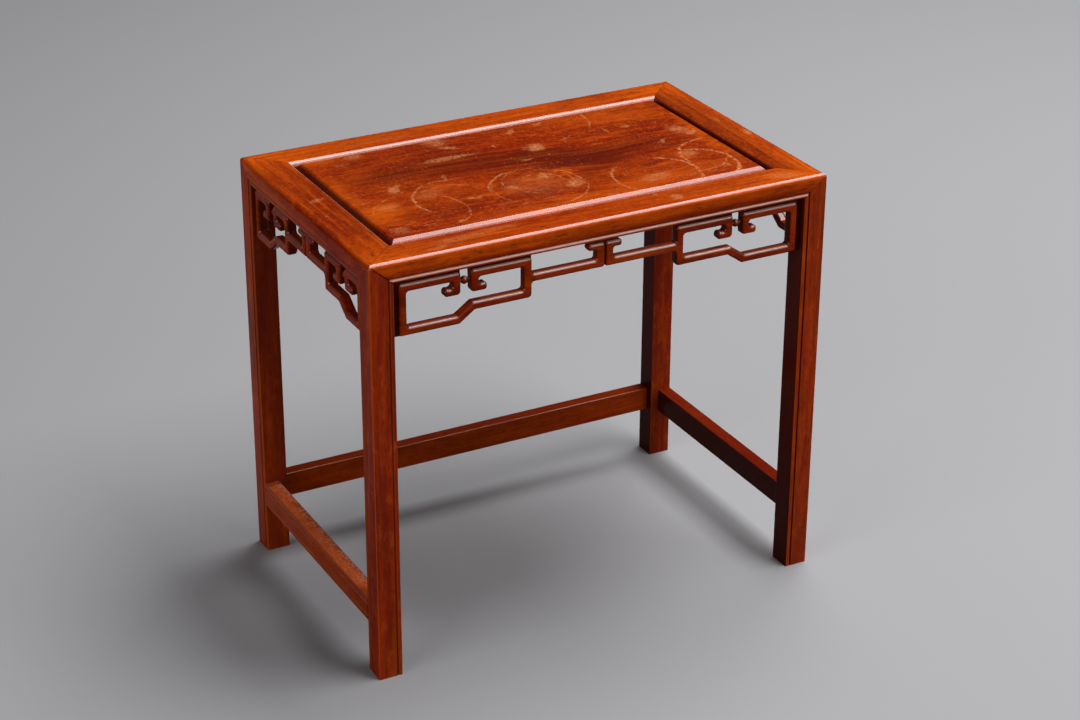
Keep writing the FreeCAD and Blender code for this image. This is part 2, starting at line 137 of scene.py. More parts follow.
# The dark cloud in the panel, along x: its middle y, its half width and its share.
CLOUD = (
    (-0.240, 0.042, 0.014, 0.0), (-0.190, 0.042, 0.026, 0.55), (-0.130, 0.044, 0.040, 0.75),
    (-0.070, 0.038, 0.050, 0.80), (-0.010, 0.022, 0.048, 0.95), (0.040, 0.004, 0.044, 0.95),
    (0.075, -0.010, 0.042, 0.95), (0.110, -0.008, 0.034, 0.90), (0.150, -0.003, 0.024, 0.75),
    (0.190, -0.006, 0.016, 0.45), (0.240, -0.010, 0.012, 0.0),
)
# The furthest that the cloud's middle may lie off the panel's middle line, and the greatest half width that it
# may have, in metres.
CLOUD_REACH = 0.1
# Ovals of dark and of pale figure in the panel: middle x, y, half length, half width, turn in degrees, share.
DARK_FIGURE = (
    (0.072, -0.052, 0.056, 0.018, 10, 0.75), (0.128, -0.058, 0.026, 0.016, 0, 0.65),
    (-0.085, 0.092, 0.075, 0.026, -4, 0.50), (-0.150, -0.076, 0.080, 0.010, 2, 0.45),
    (-0.170, 0.094, 0.056, 0.018, 3, 0.40), (0.170, 0.030, 0.050, 0.016, -14, 0.35),
    (-0.020, -0.080, 0.075, 0.012, 4, 0.30),
)
PALE_FIGURE = (
    (-0.208, -0.052, 0.040, 0.045, 0, 0.75), (-0.225, 0.020, 0.020, 0.090, 0, 0.55),
    (-0.212, 0.118, 0.040, 0.020, 0, 0.75), (0.000, -0.114, 0.240, 0.022, 1, 0.55),
    (0.120, -0.098, 0.095, 0.030, 4, 0.35), (0.222, 0.000, 0.016, 0.110, 0, 0.65),
    (0.150, 0.100, 0.110, 0.030, -8, 0.35), (-0.190, 0.055, 0.040, 0.022, 0, 0.35),
    (-0.110, -0.018, 0.040, 0.018, -6, 0.20), (0.110, 0.040, 0.080, 0.006, -14, 0.40),
)
# Curls of pale figure beside the cloud: as the ring stains below.
CURLS = (
    (0.022, -0.030, 0.0060, 0.0030, 0, 120, 0.70), (0.022, -0.030, 0.0130, 0.0032, 10, 80, 0.75),
    (0.020, -0.030, 0.0205, 0.0034, 0, 60, 0.60),
)
# Ring stains: middle x, y, radius, line width, middle of the arc and half its span in degrees, share.
RINGS = (
    (-0.115, -0.048, 0.0500, 0.0025, 168, 42, 0.91), (-0.115, -0.046, 0.0500, 0.0020, 105, 30, 0.57),
    (-0.132, -0.062, 0.0560, 0.0018, 60, 34, 0.43), (-0.170, -0.070, 0.0520, 0.0021, -8, 48, 0.57),
    (-0.170, -0.068, 0.0520, 0.0018, 130, 38, 0.43), (-0.170, -0.070, 0.0480, 0.0015, -65, 20, 0.38),
    (-0.025, -0.062, 0.0540, 0.0025, 128, 40, 0.76), (-0.025, -0.060, 0.0500, 0.0018, 178, 34, 0.43),
    (-0.022, -0.060, 0.0550, 0.0021, -52, 36, 0.66), (-0.020, -0.058, 0.0500, 0.0021, 8, 34, 0.72),
    (-0.016, -0.050, 0.0420, 0.0015, 120, 60, 0.53), (-0.014, -0.050, 0.0360, 0.0018, 20, 55, 0.57),
    (-0.016, -0.052, 0.0300, 0.0015, 200, 50, 0.43), (-0.012, -0.050, 0.0240, 0.0018, 60, 70, 0.57),
    (0.111, -0.090, 0.0505, 0.0025, 172, 44, 0.72), (0.111, -0.090, 0.0510, 0.0029, 18, 56, 0.81),
    (0.209, -0.062, 0.0460, 0.0025, 142, 56, 0.86), (0.165, -0.085, 0.0490, 0.0031, 8, 66, 0.95),
    (0.170, -0.060, 0.0440, 0.0020, -68, 32, 0.66), (0.070, 0.108, 0.0570, 0.0021, -4, 26, 0.62),
)
# Scuffs and spots of thin lacquer on the panel: middle x, y, half length, half width, turn in degrees, share.
SCUFFS = (
    (0.029, 0.047, 0.017, 0.015, 20, 1.00), (0.204, 0.024, 0.014, 0.020, 20, 0.85),
    (0.213, 0.008, 0.013, 0.006, 25, 1.00), (-0.066, 0.112, 0.020, 0.016, -20, 0.70),
    (-0.060, 0.091, 0.019, 0.006, -28, 0.85), (-0.075, 0.062, 0.048, 0.007, 2, 0.75),
    (-0.168, 0.004, 0.020, 0.007, 52, 0.90), (0.026, 0.102, 0.013, 0.004, 65, 0.90),
    (0.067, 0.114, 0.007, 0.006, 0, 0.90), (0.155, 0.060, 0.008, 0.007, 0, 0.70),
    (-0.012, 0.072, 0.005, 0.006, 0, 0.80), (0.107, -0.095, 0.026, 0.013, 10, 0.80),
    (0.174, -0.050, 0.018, 0.016, 40, 0.60), (-0.168, 0.114, 0.016, 0.010, 20, 0.60),
    (0.128, 0.056, 0.003, 0.013, 0, 0.60), (0.170, -0.002, 0.010, 0.004, 20, 0.70),
    (-0.050, -0.050, 0.011, 0.012, 0, 0.85), (-0.004, -0.036, 0.012, 0.010, 30, 0.85),
    (0.018, -0.070, 0.019, 0.012, 40, 0.90), (-0.026, -0.056, 0.050, 0.040, 0, 0.28),
    (-0.143, -0.110, 0.010, 0.004, 20, 0.80), (-0.100, -0.057, 0.014, 0.003, 4, 0.70),
    (-0.196, -0.040, 0.020, 0.012, 20, 0.45), (0.002, 0.017, 0.014, 0.005, -8, 0.60),
    (0.075, 0.056, 0.012, 0.005, 30, 0.50), (-0.212, -0.104, 0.014, 0.012, 0, 0.50),
    (0.196, -0.100, 0.008, 0.008, 0, 0.60), (-0.140, -0.025, 0.028, 0.016, 20, 0.35),
    (-0.105, 0.010, 0.004, 0.012, -15, 0.55), (-0.190, 0.095, 0.012, 0.006, 0, 0.35),
)
# Fields of fine scratches along the grain of the panel, and scuffs on the frame: as the scuffs above.
SCRATCHED = (
    (-0.185, -0.098, 0.050, 0.022, 0, 0.90), (-0.050, -0.096, 0.090, 0.018, 4, 0.70),
    (0.150, -0.108, 0.090, 0.014, 4, 0.60), (-0.070, 0.066, 0.060, 0.010, 2, 0.50),
)
FRAME_SCUFFS = (
    (0.097, -0.157, 0.009, 0.011, 0, 0.85), (0.272, -0.022, 0.006, 0.014, -10, 1.00),
    (-0.256, 0.014, 0.013, 0.006, 20, 0.75), (0.079, -0.140, 0.004, 0.003, 0, 0.60),
    (0.262, 0.030, 0.003, 0.016, 0, 0.40), (-0.265, -0.032, 0.003, 0.003, 0, 0.70),
    (-0.160, -0.150, 0.050, 0.010, 4, 0.45), (-0.195, -0.163, 0.022, 0.006, 12, 0.50),
    (-0.120, 0.150, 0.060, 0.006, 0, 0.30), (0.235, -0.158, 0.030, 0.012, -20, 0.45),
    (-0.120, -0.146, 0.040, 0.006, 2, 0.45),
)


def shade(red, green, blue):
    """A colour as it looks on screen, 0 to 255 a channel, turned into the linear light that shaders use."""
    parts = [channel / 255 for channel in (red, green, blue)]
    return tuple(p / 12.92 if p <= 0.04045 else ((p + 0.055) / 1.055) ** 2.4 for p in parts)


def colour_prop(name, description, red, green, blue):
    return bpy.props.FloatVectorProperty(
        name=name, description=description, subtype="COLOR", size=3, min=0, max=1,
        default=shade(red, green, blue))


def length_prop(name, description, metres):
    return bpy.props.FloatProperty(
        name=name, description=description, unit="LENGTH", subtype="DISTANCE", min=0.00001,
        precision=5, default=metres)


def power_prop(name, description, watts):
    return bpy.props.FloatProperty(name=name, description=description, unit="POWER", min=0, default=watts)


class WoodColours(bpy.types.PropertyGroup):
    """The colours of the rosewood, of what age has done to it, and of the shade and highlights painted on it.
    """
    heart: colour_prop("Heartwood", "Red-brown between the streaks", 162, 40, 3)
    # Besides the dark figure, this maroon is laid as painted shadow on the tops of the back and right
    # stretchers and as painted shade low on the long rails' faces.
    dark: colour_prop("Dark streaks", "Maroon of the dark bands and clouds", 98, 21, 6)
    # Besides the pale bands, this orange is laid as painted light on part of the rails' upper faces, on their
    # faces and outer edges, the panel's bevels, the legs' rounded corners and the left stretcher's outer edge.
    light: colour_prop("Light streaks", "Orange of the pale bands", 230, 98, 10)
    pore: colour_prop("Pores", "Short dark flecks of the open grain", 60, 16, 6)
    # Painted shade: this deep brown is laid where shade falls, in recesses, on faces that look in or down,
    # under the panel and over the aprons.
    painted_shade: colour_prop("Sheltered wood", "Deep brown of faces that never saw the sun", 66, 16, 7)
    bare: colour_prop("Worn lacquer", "Pale mark where the lacquer is rubbed or stained", 236, 158, 98)
    # Painted highlight: this pale pink stands in for light glinting off the beads, the edges and the crowns of
    # the apron rods, and for a reflection along the left rail's inner edge. On the left stretcher's top it is
    # real dust.
    sheen_and_dust: colour_prop("Rubbed edges", "Pale pink shine of rubbed beads and edges", 234, 186, 170)
    # Besides the real joint lines, this colour is laid as painted shade in the leg grooves, over the rail
    # beads, low on the legs' inner faces, on the right stretcher's inner face and where the aprons tuck in.
    joint: colour_prop("Joint lines", "Hairline shadow where two pieces meet", 20, 7, 4)


class WoodSizes(bpy.types.PropertyGroup):
    """The scale of the figure in the wood."""
    band: length_prop("Band width", "Width of the broad growth bands", 0.012)
    streak: length_prop("Streak width", "Width of the fine streaks", 0.0024)
    fleck: length_prop("Fleck width", "Width of the short dark flecks", 0.0016)
    mottle: length_prop("Mottle size", "Size of the small blotches of tone", 0.007)
    pore: length_prop("Pore width", "Width of one open pore", 0.0005)
    cloud: length_prop("Cloud size", "Size of the slow changes of tone", 0.05)
    relief: length_prop("Relief", "Height of the grain under the lacquer", 0.00003)
    joint: length_prop("Joint line", "Width of the dark line at a joint", 0.0008)


class StudioLook(bpy.types.PropertyGroup):
    """The floor and the lamps round the table."""
    floor: colour_prop("Floor", "Pale grey of the floor", 174, 174, 177)
    backdrop: colour_prop("Backdrop", "Grey of the room behind the floor", 34, 34, 36)
    floor_radius: length_prop("Floor radius", "How far the floor runs", 16.0)
    key: power_prop("Key lamp", "Power of the overhead softbox", 248)
    fill: power_prop("Fill lamp", "Power of the low lamp on the left", 70)
    front: power_prop("Front lamp", "Power of the broad lamp at the front", 22)


class Finish:
    """One lacquered wood material. Each call adds nodes and gives back the output socket of the last one."""

    def __init__(self, name):
        self.material = bpy.data.materials.new(name)
        self.material.use_nodes = True
        self.tree = self.material.node_tree
        self.tree.nodes.clear()
        self.place = self.add("ShaderNodeTexCoord").outputs["Object"]
        self.facing = self.split(self.add("ShaderNodeNewGeometry").outputs["Normal"])
        self.at = self.split(self.place)

    def set(self, socket, value):
        """Links a socket to this input, or sets the input to a plain value."""
        if isinstance(value, bpy.types.NodeSocket):
            self.tree.links.new(value, socket)
        else:
            socket.default_value = (*value, 1) if socket.type == "RGBA" and len(value) == 3 else value

    def add(self, kind, *values, **settings):
        """A node of this kind with its settings. The values fill its inputs in order, or by name where they
        are in a dict."""
        node = self.tree.nodes.new(kind)
        for key, value in settings.items():
            setattr(node, key, value)
        for index, value in enumerate(values):
            if isinstance(value, dict):
                for key, named in value.items():
                    self.set(node.inputs[key], named)
            elif value is not None:
                self.set(node.inputs[index], value)
        return node

    def split(self, vector):
        """The x, y and z of a vector."""
        return self.add("ShaderNodeSeparateXYZ", vector).outputs[:]

    def calc(self, operation, *values):
        """One sum, by the name of its Math node operation."""
        return self.add("ShaderNodeMath", *values, operation=operation).outputs[0]

    def times(self, first, *others):
        """The product of all the values."""
        for other in others:
            first = self.calc("MULTIPLY", first, other)
        return first

    def scaled(self, value, factor, plus):
        """The value times a factor, plus something."""
        return self.calc("MULTIPLY_ADD", value, factor, plus)

    def most(self, masks):
        """The greatest of several masks."""
        found = masks[0]
        for mask in masks[1:]:
            found = self.calc("MAXIMUM", found, mask)
        return found

    def size(self, value):
        """The value without its sign."""
        return self.calc("ABSOLUTE", value)

    def less(self, first, second):
        """The first value less the second."""
        return self.calc("SUBTRACT", first, second)

    def ramp(self, value, low, high, start=0.0, end=1.0):
        """An eased step from start to end as the value goes from low to high."""
        return self.add("ShaderNodeMapRange", value, low, high, start, end,
                        interpolation_type="SMOOTHSTEP").outputs[0]

    def below(self, first, last, start=0.0, end=1.0):
        """An eased step from start to end as the depth under the top goes from first to last."""
        return self.ramp(self.at[Z], TOP - first, TOP - last, start, end)

    def blend(self, share, under, over):
        """Two colours mixed: the share is that of the one over the other."""
        return self.add("ShaderNodeMix", {0: share, 6: under, 7: over}, data_type="RGBA").outputs[2]

    def noise(self, place, size, detail=2.0, roughness=0.5, distortion=0.0, output="Fac"):
        """Noise whose lumps are about this size in metres, from 0 to 1."""
        return self.add("ShaderNodeTexNoise", {
            "Vector": place, "Scale": 0.5 / size, "Detail": detail, "Roughness": roughness,
            "Distortion": distortion}).outputs[output]

    def stretched(self, place, axis, times):
        """The place with one axis drawn out, so that what reads it runs along that axis."""
        scale = [1.0, 1.0, 1.0]
        scale[axis] = 1 / times
        return self.add("ShaderNodeMapping", place, None, None, scale, vector_type="POINT").outputs[0]

    def waved(self, place, noise_place, size, sway):
        """The place shifted by a slow noise less its middle, by up to about half the sway each way."""
        lumps = self.noise(noise_place, size, output="Color")
        drift = self.add("ShaderNodeVectorMath", lumps, (0.5, 0.5, 0.5), operation="SUBTRACT").outputs[0]
        drift = self.add("ShaderNodeVectorMath", drift, {"Scale": sway}, operation="SCALE").outputs[0]
        return self.add("ShaderNodeVectorMath", place, drift, operation="ADD").outputs[0]

    def local(self, place, centre, size, turn, depth):
        """The place measured from an oval on the top: 1 is its edge."""
        return self.add("ShaderNodeMapping", place, (*centre, TOP), (0, 0, math.radians(turn)),
                        (*size, depth), vector_type="TEXTURE").outputs[0]

    def reach(self, local):
        """The distance from the middle of such an oval."""
        return self.add("ShaderNodeVectorMath", local, operation="LENGTH").outputs["Value"]

    def ovals(self, place, rows, depth, edge):
        """The greatest of several soft ovals on the top: each is 0 at its edge, and its share within the part
        of its reach that edge gives."""
        masks = [self.ramp(self.reach(self.local(place, (x, y), (a, b), turn, depth)), 1.0, edge, 0.0, share)
                 for x, y, a, b, turn, share in rows]
        return self.most(masks)

    def rings(self, place, rows):
        """Arcs of rings on the top: |distance / radius - 1| under a width, round one side of the middle."""
        masks = []
        for x, y, radius, width, turn, span, share in rows:
            local = self.local(place, (x, y), (radius, radius), turn, RING_SKIN)
            off = self.size(self.less(self.reach(local), 1.0))
            line = self.ramp(off, width / radius, RING_CORE * width / radius, 0.0, share)
            end = math.cos(math.radians(span))
            masks.append(self.times(line, self.ramp(self.split(local)[X], end - RING_FADE, end + RING_FADE)))
        return self.most(masks)

    def path(self, value, places, results, low, high):
        """A smooth curve of results from low to high through points at these places, read at the value."""
        start, end = places[0], places[-1]
        share = self.add("ShaderNodeMapRange", value, start, end).outputs[0]
        node = self.add("ShaderNodeFloatCurve", {"Value": share})
        points = node.mapping.curves[0].points
        for index, (place, result) in enumerate(zip(places, results)):
            spot = ((place - start) / (end - start), (result - low) / (high - low))
            if 0 < index < len(places) - 1:
                points.new(*spot)
            else:
                points[-1 if index else 0].location = spot
        node.mapping.update()
        return self.scaled(node.outputs[0], high - low, low)

    def lacquer(self, colour, roughness, height, relief, dull, bright):
        """Closes the material: bright lacquer on slopes that look up, dull on upright faces and less polished
        on level ones. The polish grows as the upward share of the normal goes from dull to bright."""
        polish = self.times(self.ramp(self.facing[Z], dull, bright, DULL_POLISH, FULL_POLISH),
                            self.ramp(self.facing[Z], *LEVEL_UP, 1.0, LEVEL_POLISH))
        bump = self.add("ShaderNodeBump", {"Strength": RELIEF_STRENGTH, "Distance": relief, "Height": height})
        shader = self.add("ShaderNodeBsdfPrincipled", {
            "Base Color": colour, "Roughness": roughness, "Normal": bump.outputs[0],
            "Specular IOR Level": polish})
        self.add("ShaderNodeOutputMaterial", {"Surface": shader.outputs[0]})
        return self.material


class Rosewood(Finish):
    """Rosewood with its grain along one axis: bands, streaks, pores and slow clouds of tone."""

    def __init__(self, name, axis, colours, sizes):
        super().__init__(name)
        self.axis, self.colours, self.sizes = axis, colours, sizes

    def figure(self, light=0.35, dark=0.5, place=None):
        """Starts the wood's colour, with its figure running along the grain at this place."""
        colours, sizes, axis = self.colours, self.sizes, self.axis
        place = place or self.place
        self.flow = self.waved(place, self.stretched(place, axis, FLOW_RUN), size=0.025, sway=0.014)
        cloudy, dash, along, fine = (self.stretched(self.flow, axis, run)
                                     for run in (CLOUD_RUN, DASH_RUN, BAND_RUN, STREAK_RUN))
        bands = self.ramp(self.noise(along, sizes.band, 3, 0.55, 0.3), *BAND_RANGE)
        self.streaks = self.ramp(self.noise(fine, sizes.streak, 2, 0.6), *STREAK_RANGE)
        self.glints = self.ramp(self.noise(fine, GLINT_TIMES * sizes.streak, 3, 0.6), *GLINT_RANGE)
        self.flecks = self.ramp(self.noise(dash, sizes.fleck, 2, 0.6), *FLECK_RANGE)
        self.pores = self.ramp(self.noise(along, sizes.pore, 1), *PORE_RANGE)
        self.clouds = self.ramp(self.noise(cloudy, sizes.cloud, 2), *CLOUD_RANGE)
        self.colour = self.blend(self.times(bands, dark), colours.heart, colours.dark)
        self.lay(colours.light, self.clouds, light)
        self.height = self.less(self.times(bands, 0.6), self.times(self.streaks, 0.4))
        self.gloss = self.ramp(self.noise(self.place, 0.02, 3, 0.6), 0.3, 0.7, *ROUGHNESS)
        return self

    def lay(self, colour, *factors):
        """Lays a colour over the wood. Its share is the product of the factors, masks and plain numbers."""
        self.colour = self.blend(self.times(*factors), self.colour, colour)

    def upward(self):
        """1 on faces that look up, 0 on upright ones."""
        return self.ramp(self.facing[Z], 0.6, 0.95)

    def blotches(self, share=0.3, speckle=None):
        """Small pale and dark blotches, and a finer speckle where its share is given."""
        blotch = self.stretched(self.flow, self.axis, BLOTCH_RUN)
        tones = [(self.noise(blotch, self.sizes.mottle, 4, 0.8), share)]
        if speckle is not None:
            tones.append((self.noise(self.flow, SPECKLE_TIMES * self.sizes.mottle, 3, 0.7), speckle))
        for tone, part in tones:
            self.lay(self.colours.light, self.ramp(tone, *PALE_RANGE, 0.0, part))
            self.lay(self.colours.dark, self.ramp(tone, *DARK_RANGE, 0.0, part))

    def grain(self, streaks=0.3, pores=0.4, glints=0.2, flecks=0.3):
        """The fine streaks, flecks and pores, over whatever the wood has so far."""
        self.lay(self.colours.light, self.glints, glints)
        self.lay(self.colours.dark, self.streaks, streaks)
        self.lay(self.colours.pore, self.flecks, flecks)
        self.lay(self.colours.pore, self.pores, pores)

    def broken(self, size, low, high):
        """Patches of about this size in metres: 0 where their noise is under low, 1 where it is over high."""
        return self.ramp(self.noise(self.place, size, 3, 0.7), low, high)

    def rub(self, mask, share):
        """Worn lacquer: paler and duller where the mask is, broken up by a fine and a coarser noise."""
        mask = self.times(mask, self.scaled(self.broken(0.002, 0.4, 0.6), 0.65, 0.35),
                          self.scaled(self.broken(0.009, 0.3, 0.6), 0.45, 0.55))
        self.lay(self.colours.bare, mask, share)
        self.gloss = self.scaled(mask, WORN_ROUGHNESS, self.gloss)

    def close(self, steep=None, steep_up=POLISH_UP):
        """The finished material. Where the steep mask is, the polish grows over other upward shares."""
        ends = POLISH_UP
        if steep is not None:
            ends = [self.ramp(steep, 0, 1, usual, other) for usual, other in zip(POLISH_UP, steep_up)]
        return self.lacquer(self.colour, self.gloss, self.height, self.sizes.relief, *ends)


def dress(names, material):
    """Gives each named CAD piece this one material."""
    for name in names:
        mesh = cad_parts[name].data
        mesh.materials.clear()
        mesh.materials.append(material)


def edge_distances(wood):
    """How far in a point lies from the table's ends, and from its front or back."""
    return wood.less(HALF_W, wood.size(wood.at[X])), wood.less(HALF_D, wood.size(wood.at[Y]))


def half(wood, axis, sign):
    """1 on one half of the table, the one on this side of its middle, eased from the middle out."""
    return wood.ramp(wood.at[axis], 0.0, sign * MIDDLE_EASE)


def outward(wood, axis):
    """How much a face looks away from the middle of the table along this axis, from -1 to 1."""
    return wood.times(wood.facing[axis], wood.calc("SIGN", wood.at[axis]))


def inward(wood, axis):
    """1 on faces that look along this axis to the middle of the table."""
    return wood.ramp(outward(wood, axis), -0.4, -0.8)


def inner_shade(wood, across=0.55):
    """Where painted shade goes: 1 on faces that look down or in under the table from its ends, the share
    across on those that look in from its front and back."""
    down = wood.ramp(wood.facing[Z], -0.2, -0.7)
    return wood.most([inward(wood, X), wood.times(inward(wood, Y), across), down])


def band(wood, value, low, high, soft):
    """1 where the value lies between low and high, eased over a soft distance outside them."""
    return wood.times(wood.ramp(value, low - soft, low), wood.ramp(value, high + soft, high))


def mitre_lines(wood):
    """Dark hairlines at the three-way corner joints. With u and v the distances in from the table's ends
    and sides and w the depth below the top, the joint runs on u = v across the top, and on
    u = w * k (or v = w * k) down the faces, k being leg width over rail height. The front left corner
    has opened a little."""
    u, v = edge_distances(wood)
    w = wood.times(wood.less(TOP, wood.at[Z]), LEG / RAIL_DROP)
    opened = wood.times(half(wood, X, -1), half(wood, Y, -1))
    width = wood.ramp(opened, 0.0, 1.0, wood.sizes.joint, OPENED_TIMES * wood.sizes.joint)
    front_share = wood.ramp(opened, 0.0, 1.0, 0.4, 0.9)
    masks = []
    for first, second, axis, share in ((u, v, Z, 0.35), (u, w, Y, front_share), (v, w, X, 0.3)):
        off = wood.size(wood.less(first, second))
        flat = wood.ramp(wood.size(wood.facing[axis]), 0.75, 0.85)
        masks.append(wood.times(wood.ramp(off, width, wood.times(width, 0.3)), flat, share))
    return wood.most(masks)


def recess(wood):
    """Painted shade at the foot of the slopes beside the panel's ends, where the groove lies in shadow."""
    slope = wood.ramp(wood.size(wood.facing[X]), 0.2, 0.5)
    inside = wood.ramp(wood.size(wood.at[X]), *(RAIL_IN_X + reach for reach in RECESS_REACH))
    return wood.times(slope, inside, wood.below(*RECESS_DEPTHS, 0.0, 0.84))


def grooves(wood):
    """1 in the grooves beside the beads of the legs: a band at one distance in from an edge, down the
    outer faces."""
    u, v = edge_distances(wood)
    masks = []
    for distance, depth in ((u, v), (v, u)):
        off = wood.size(wood.less(distance, LEG - BEAD - GROOVE / 2))
        line = wood.ramp(off, 0.55 * GROOVE, 0.25 * GROOVE)
        masks.append(wood.times(line, wood.ramp(depth, *LEG_FACE_REACH)))
    return wood.most(masks)


def bead_lines(wood, axis, shine):
    """A painted highlight along the bead at the foot of a rail's outer face, and a painted shade line over it.
    """
    outer = wood.ramp(outward(wood, 1 - axis), -0.1, 0.2)
    up = wood.less(wood.at[Z], TOP - RAIL_DROP)
    wood.lay(wood.colours.sheen_and_dust, outer, band(wood, up, *BEAD_LINE), shine)
    wood.lay(wood.colours.joint, outer, band(wood, up, *BEAD_SHADE), 0.6)


class TABLE_OT_frame(bpy.types.Operator):
    """Finish the four mitred rails of the top, bleached to orange at their ends, with painted light and shade
    on their faces and edges
    """
    bl_idname = "side_table.frame"
    bl_label = "Top Frame"

    def execute(self, context):
        colours, sizes = context.scene.wood_colours, context.scene.wood_sizes
        for names, axis in ((LONG_RAILS, X), (SHORT_RAILS, Y)):
            wood = Rosewood(f"frame_rosewood_{'xy'[axis]}", axis, colours, sizes).figure(light=0.2, dark=0.4)
            up = wood.upward()
            ends = wood.ramp(wood.size(wood.at[axis]), *BLEACHED_ENDS[axis])
            # Upward faces are laid over with orange: the bleached ends and random clouds are real tone, and
            # the rest over the whole top is painted light.
            orange = wood.scaled(wood.clouds, 0.35, 0.08)
            wood.lay(colours.light, up, wood.scaled(ends, 0.5, orange))
            if axis == X:
                # Painted light and shade down the upright faces of the long rails: lighter orange near the top
                # edge, darker maroon lower down toward the bead.
                upright = wood.ramp(wood.size(wood.facing[Y]), 0.5, 0.9)
                wood.lay(colours.light, upright, wood.below(*FACE_ORANGE_DEPTHS), 0.4)
                wood.lay(colours.dark, upright, wood.below(*FACE_MAROON_DEPTHS), 0.45)
            else:
                wood.lay(colours.dark, half(wood, X, -1), wood.less(1.0, ends), up, 0.4)
                inner = wood.ramp(wood.at[X], *(RAIL_IN_X + reach for reach in RIGHT_SHADE_REACH))
                wood.lay(colours.dark, inner, half(wood, X, 1), up, 0.6)
            wood.blotches(0.35, wood.times(up, 0.25))
            wood.grain(streaks=0.35, pores=0.4, glints=0.4, flecks=0.45)
            if axis == Y:
                # Painted shade in the recess beside the panel's end.
                wood.lay(colours.painted_shade, recess(wood))
                # Painted reflection: a pale pink line along the left rail's inner edge, where the lacquer
                # reflects the room.
                edge = wood.times(wood.ramp(wood.facing[X], 0.35, 0.55), wood.ramp(wood.facing[X], 0.8, 0.7))
                wood.lay(colours.sheen_and_dust, edge, wood.below(*INNER_EDGE_DEPTHS), half(wood, X, -1), 0.6)
            # Painted highlight on each rail's bead, strong on the long rails and faint on the short ones, with
            # a painted shade line over it.
            bead_lines(wood, axis, 0.8 if axis == X else 0.1)
            wood.rub(wood.ovals(wood.place, FRAME_SCUFFS, FRAME_SKIN, 0.3), 0.6)
            wood.lay(colours.joint, mitre_lines(wood))
            border = (HALF_D, HALF_W)[axis]
            outer = wood.ramp(wood.size(wood.at[1 - axis]), *(border - reach for reach in OUTER_EDGE_REACH))
            if axis == X:
                # Painted highlight on the back rail's inner round, where it faces the front.
                inner = wood.times(wood.ramp(wood.facing[Y], -0.5, -0.65), half(wood, Y, 1))
                wood.lay(colours.sheen_and_dust, inner, wood.below(*INNER_EDGE_DEPTHS), 0.5)
                # Painted highlight: the outer top edges are laid a warmer orange where the lamp's shine lies
                # on them.
                wood.lay(colours.light, outer, band(wood, wood.facing[Z], 0.5, 0.9, 0.08), 0.35)
            dress(names, wood.close(outer, EDGE_POLISH_UP))
        return {"FINISHED"}


class TABLE_OT_panel(bpy.types.Operator):
    """Finish the floating panel of the top, with its dark cloud, ring stains and scuffs"""
    bl_idname = "side_table.panel"
    bl_label = "Top Panel"

    def execute(self, context):
        colours, sizes = context.scene.wood_colours, context.scene.wood_sizes
        wood = Rosewood("panel_rosewood", X, colours, sizes)
        xs, middles, widths, shares = zip(*CLOUD)
        bend = wood.times(wood.path(wood.at[X], xs, middles, -CLOUD_REACH, CLOUD_REACH), 0.45)
        bent_y = wood.less(wood.at[Y], bend)
        bent = wood.add("ShaderNodeCombineXYZ", wood.at[X], bent_y, wood.at[Z]).outputs[0]
        wood.figure(light=0.25, dark=0.35, place=bent)
        wood.blotches(0.5, 0.45)
        wood.lay(colours.dark, 0.18)

        drift = wood.waved(wood.place, wood.stretched(bent, X, 5), size=0.010, sway=0.060)
        across = wood.split(drift)
        middle = wood.path(across[X], xs, middles, -CLOUD_REACH, CLOUD_REACH)
        off = wood.size(wood.less(across[Y], middle))
        off = wood.calc("DIVIDE", off, wood.path(across[X], xs, widths, 0.0, CLOUD_REACH))
        cloud = wood.times(wood.ramp(off, 1.15, 0.1), wood.path(across[X], xs, shares, 0.0, 1.0))
        wood.lay(colours.light, wood.ovals(drift, PALE_FIGURE, THROUGH, 0.1), 0.85)
        wood.lay(colours.dark, wood.most([cloud, wood.ovals(drift, DARK_FIGURE, THROUGH, 0.1)]))
        wood.lay(colours.light, wood.rings(drift, CURLS), 0.6)
        wood.grain(streaks=0.22)
        # Painted light: the bevels at the panel's front and back are laid a little lighter orange.
        wood.lay(colours.light, wood.ramp(wood.size(wood.facing[Y]), 0.15, 0.4, 0.0, 0.2))

        shaky = wood.waved(wood.place, wood.place, size=0.016, sway=0.008)
        shaky = wood.waved(shaky, wood.place, size=0.003, sway=0.0035)
        smudge = wood.waved(wood.place, wood.place, size=0.005, sway=0.014)
        field = wood.ramp(wood.facing[Z], 0.9, 0.98)
        wood.rub(wood.times(wood.rings(shaky, RINGS), wood.broken(0.004, 0.36, 0.56), field), 0.85)
        wood.rub(wood.times(wood.ovals(smudge, SCUFFS, PANEL_SKIN, 0.3), field), 0.6)
        lines = wood.ramp(wood.noise(wood.stretched(shaky, X, 16), 0.0011, 2), 0.58, 0.7)
        wood.rub(wood.times(lines, wood.ovals(smudge, SCRATCHED, PANEL_SKIN, 0.2), field), 0.8)
        dots = wood.ramp(wood.noise(wood.place, 0.0016, 2, 0.6), 0.6, 0.74)
        wood.lay(colours.bare, dots, wood.broken(0.03, 0.4, 0.65), field, 0.4)
        # Painted shade at the foot of the slopes at the panel's ends.
        wood.lay(colours.painted_shade, recess(wood))
        dress(PANEL, wood.close(wood.below(*BEVEL_FOOT_DEPTHS), FOOT_POLISH_UP))
        return {"FINISHED"}


